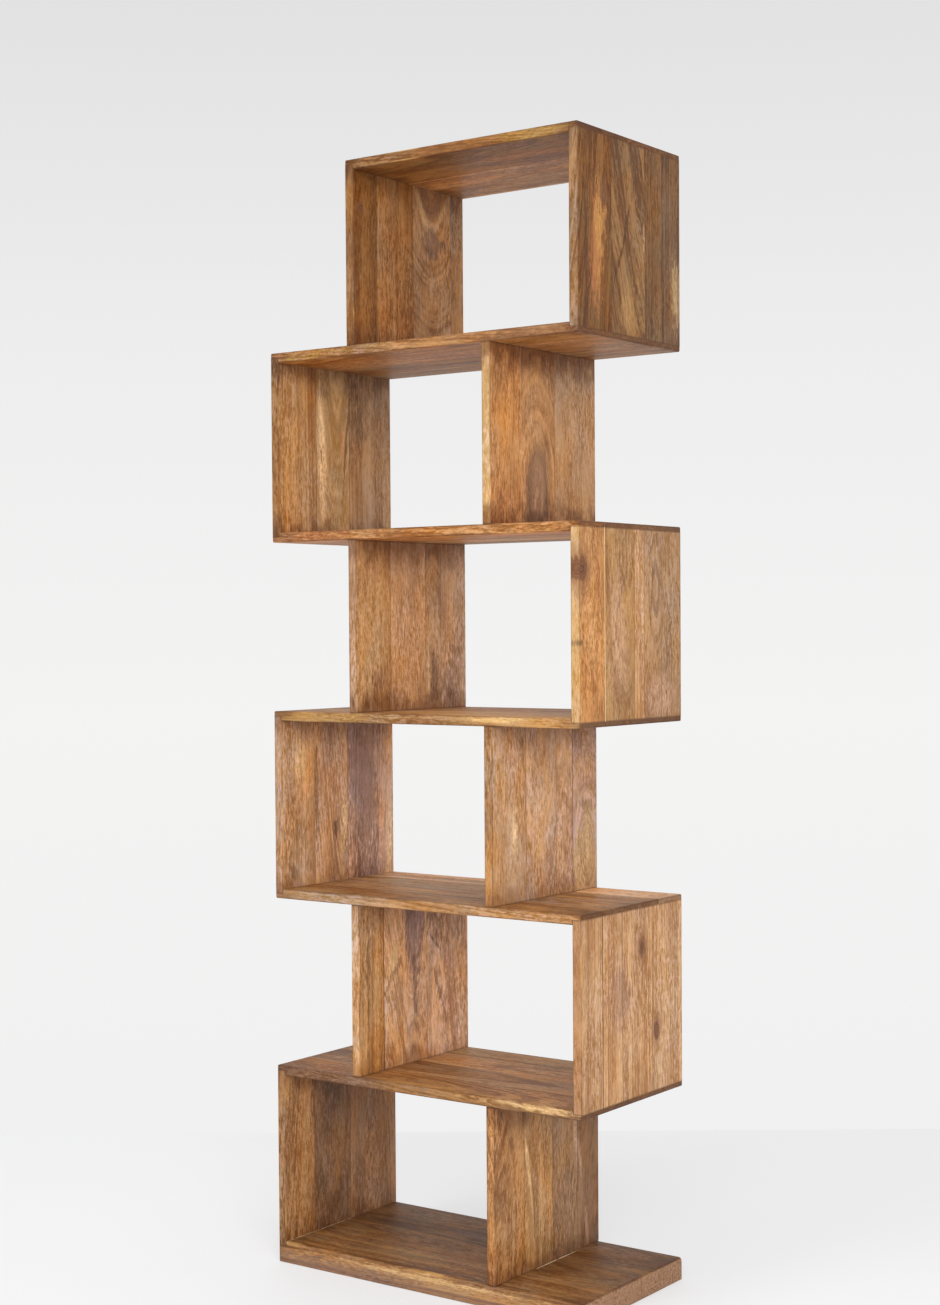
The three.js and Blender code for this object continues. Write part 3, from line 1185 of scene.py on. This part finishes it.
lying_board(
    "top_board", {"left": "upper", "right": "upper"},
    lying_stave(
        68, russet, 0.57, heart=(20, 40, 80),
        patches=[
            patch(190, 0, 45, 3, 0, (0.26, 0.11, 0.035), 0.5, ragged=1.5),
            patch(360, 0, 55, 3, 0, (0.36, 0.22, 0.05), 0.4, ragged=1.8),
        ],
    ),
    lying_stave(142, russet, 0.75, heart=(110, 40, 10)),
    lying_stave(230, amber, 1.41, heart=(190, 20, 60)),
    lying_stave(300, brown, 1.33, heart=(260, 20, 30), wander=4),
    front=(amber, 0.59), stain=0.7,
)


# Dowels
# Plain 6 mm beech pins with chamfered ends, glued three to a joint, half in the set-in upright's end
# and half in the face of the shelf. They are out of sight once the shelf is put together.
pale_beech = (0.66, 0.47, 0.29, 1)
dark_beech = (0.52, 0.33, 0.19, 1)
fleck_tone = (0.34, 0.19, 0.10)
beech, tree, surface = blank_material("beech")
place = source(tree, "TexCoord", "Object")
flecks = cloud(place, (1400, 1400, 160), (0, 0, 0))
grain_lines = cloud(place, (2600, 2600, 30), (3, 5, 7), 3.0)
pin_colour = blend(ease(grain_lines, 0.35, 0.65), pale_beech, dark_beech)
pin_colour = paint_over(pin_colour, ease(flecks, 0.6, 0.72, 0.0, 0.5), fleck_tone)
relief = flow("Bump", {"Height": grain_lines, "Strength": 1.0, "Distance": 0.08 * mm})
lead(pin_colour, surface.inputs["Base Color"])
lead(ease(grain_lines, 0.3, 0.7, 0.55, 0.75), surface.inputs["Roughness"])
lead(relief, surface.inputs["Normal"])
for name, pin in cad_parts.items():
    if name.startswith("dowel"):
        pin.data.materials.clear()
        pin.data.materials.append(beech)


# Floor, backdrop and light
# A plain pale studio floor that ends a metre behind the shelf, a pale wall with painted shade that makes
# it darker towards the top, a large soft lamp at the front right, a higher one in front, and an even pale
# light from all round, stronger from above.
floor_far = 4.37
floor_deep = 60.0
floor_wide = 80.0
floor_paint = (0.84, 0.845, 0.86, 1)
floor_glow = (0.935, 0.937, 0.947, 1)
flat_ahead = Vector((ahead.x, ahead.y, 0)).normalized()
camera_foot = Vector((camera.location.x, camera.location.y, 0))
floor_middle = camera_foot + flat_ahead * (floor_far - floor_deep / 2)
bpy.ops.mesh.primitive_plane_add(size=1, location=floor_middle, rotation=(0, 0, view_direction))
floor = bpy.context.object
floor.name = "floor"
floor.scale = (floor_wide, floor_deep, 1)


def looked_at(tree):
    """1 on what the camera sees, straight or in a gloss, and 0 on what only lights the scene."""
    return larger(*(source(tree, "LightPath", ray) for ray in ("Is Camera Ray", "Is Glossy Ray")))


paint, tree, surface = blank_material("pale_floor")
surface.inputs["Base Color"].default_value = floor_paint
surface.inputs["Roughness"].default_value = 0.55
glow = wire(tree, "Emission", {"Color": floor_glow, "Strength": 1.0})
looks = {0: looked_at(tree) * 0.5, 1: Wired(surface.outputs[0]), 2: Wired(glow.outputs[0])}
lead(flow("MixShader", looks), tree.nodes["Material Output"].inputs[0])
floor.data.materials.append(paint)

world = bpy.data.worlds.new("pale_studio")
bpy.context.scene.world = world
world.use_nodes = True
tree = world.node_tree
around = tree.nodes["Background"]
around.inputs["Strength"].default_value = 1.0
height = split(source(tree, "TexCoord", "Generated"))[2]


def spread(value, low, high):
    return flow("MapRange", {0: value, 1: low, 2: high})


light_below = (0.52, 0.515, 0.505, 1)
light_above = (0.86, 0.855, 0.84, 1)
lead(blend(spread(height, -0.1, 0.9), light_below, light_above), around.inputs["Color"])
# the wall that the camera sees gets painted shade, darker towards the top, where less light falls
wall_with_painted_shade = wire(tree, "ValToRGB", {0: spread(height, -0.25, 0.35)})
greys = wall_with_painted_shade.color_ramp.elements
greys[0].color = (0.875, 0.875, 0.875, 1)
greys[1].color = (0.72, 0.72, 0.72, 1)
greys.new(0.35).color = (0.90, 0.90, 0.895, 1)
greys.new(0.62).color = (0.855, 0.855, 0.855, 1)
backdrop = wire(tree, "Background", {"Color": Wired(wall_with_painted_shade.outputs[0]), "Strength": 1.0})
looks = {0: looked_at(tree), 1: Wired(around.outputs[0]), 2: Wired(backdrop.outputs[0])}
lead(flow("MixShader", looks), tree.nodes["World Output"].inputs[0])

shelf_middle = Vector((0, 0, 0.95))


def soft_lamp(name, azimuth, elevation, distance, side, power):
    """A square soft box that looks at the middle of the shelf."""
    a, e = math.radians(azimuth), math.radians(elevation)
    away = Vector((math.sin(a) * math.cos(e), -math.cos(a) * math.cos(e), math.sin(e)))
    bpy.ops.object.light_add(type="AREA", location=shelf_middle + away * distance)
    lamp = bpy.context.object
    lamp.name = name
    lamp.rotation_mode = "QUATERNION"
    lamp.rotation_quaternion = (-away).to_track_quat("-Z", "Y")
    lamp.data.size = side
    lamp.data.energy = power


soft_lamp("front_right_lamp", azimuth=40, elevation=17, distance=3.6, side=2.0, power=78)
soft_lamp("high_front_lamp", azimuth=-12, elevation=54, distance=3.6, side=1.0, power=32)

bpy.context.scene.view_settings.view_transform = "Standard"
